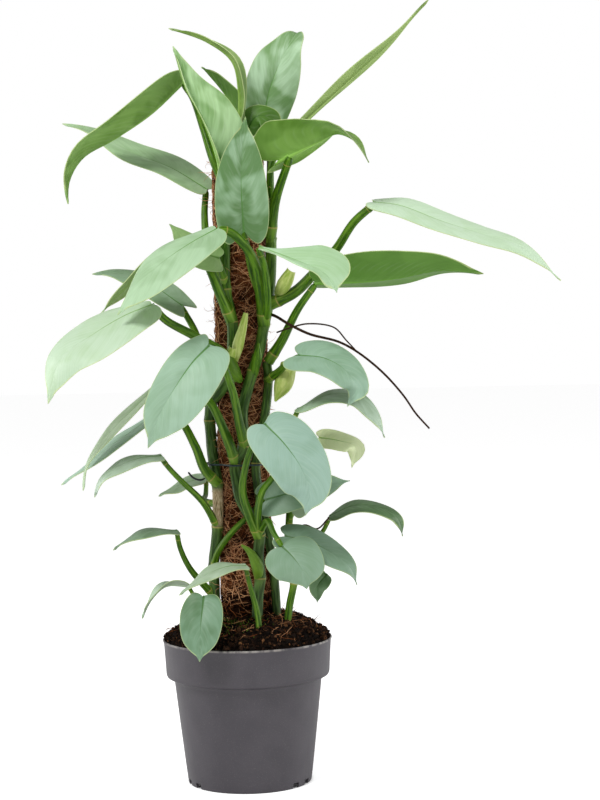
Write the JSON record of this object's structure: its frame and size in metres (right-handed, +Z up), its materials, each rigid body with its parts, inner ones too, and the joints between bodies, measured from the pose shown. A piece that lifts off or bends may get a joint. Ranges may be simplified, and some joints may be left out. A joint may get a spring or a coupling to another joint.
{
  "type": "potted silver queen philodendron",
  "caption": "Climbing aroid house plant with silvery arrow-shaped leaves on a coir pole, rooted in a round plastic nursery pot.",
  "frame": {"origin": "middle of the pot's underside, on the surface it stands on", "axes": "+Z up along the pole; -Y is the front of the plant, the side in the picture; +X is its right as seen from the front"},
  "size_m": [0.4982, 0.2197, 0.779],
  "materials": {
    "silver_leaf": "satin",
    "pale_leaf": "satin",
    "dark_leaf": "satin",
    "green_stem": "satin",
    "pot_plastic": "satin",
    "peat": "matte",
    "coir": "matte",
    "bare_wood": "matte",
    "root_bark": "matte",
    "coated_wire": "satin"
  },
  "bodies": {
    "root": {"aerial_root_low": "root_bark", "aerial_root_right": "root_bark", "coir_sleeve": "coir", "leaf_01": "silver_leaf", "leaf_02": "silver_leaf", "leaf_03": "silver_leaf", "leaf_04": "silver_leaf", "leaf_05": "silver_leaf", "leaf_06": "silver_leaf", "leaf_07": "silver_leaf", "leaf_08": "silver_leaf", "leaf_09": "silver_leaf", "leaf_10": "silver_leaf", "leaf_11": "silver_leaf", "leaf_12": "pale_leaf", "leaf_13": "pale_leaf", "leaf_14": "silver_leaf", "leaf_15": "silver_leaf", "leaf_16": "silver_leaf", "leaf_17": "silver_leaf", "leaf_18": "silver_leaf", "leaf_19": "pale_leaf", "leaf_20": "silver_leaf", "leaf_21": "silver_leaf", "leaf_22": "silver_leaf", "leaf_23": "silver_leaf", "leaf_24": "pale_leaf", "leaf_25": "silver_leaf", "leaf_26": "pale_leaf", "leaf_27": "silver_leaf", "leaf_28": "silver_leaf", "leaf_29": "pale_leaf", "leaf_30": "silver_leaf", "leaf_31": "dark_leaf", "leaf_32": "silver_leaf", "leaf_33": "dark_leaf", "leaf_34": "dark_leaf", "leaf_35": "dark_leaf", "leaf_36": "pale_leaf", "leaf_37": "dark_leaf", "pole_stake": "bare_wood", "pot": "pot_plastic", "potting_soil": "peat", "shoot_right": "green_stem", "stalk_front": "green_stem", "stalk_left": "green_stem", "stalk_rim": "green_stem", "tie_wire": "coated_wire", "vine_front": "green_stem", "vine_left": "green_stem", "vine_right": "green_stem"}
  },
  "joints": []
}
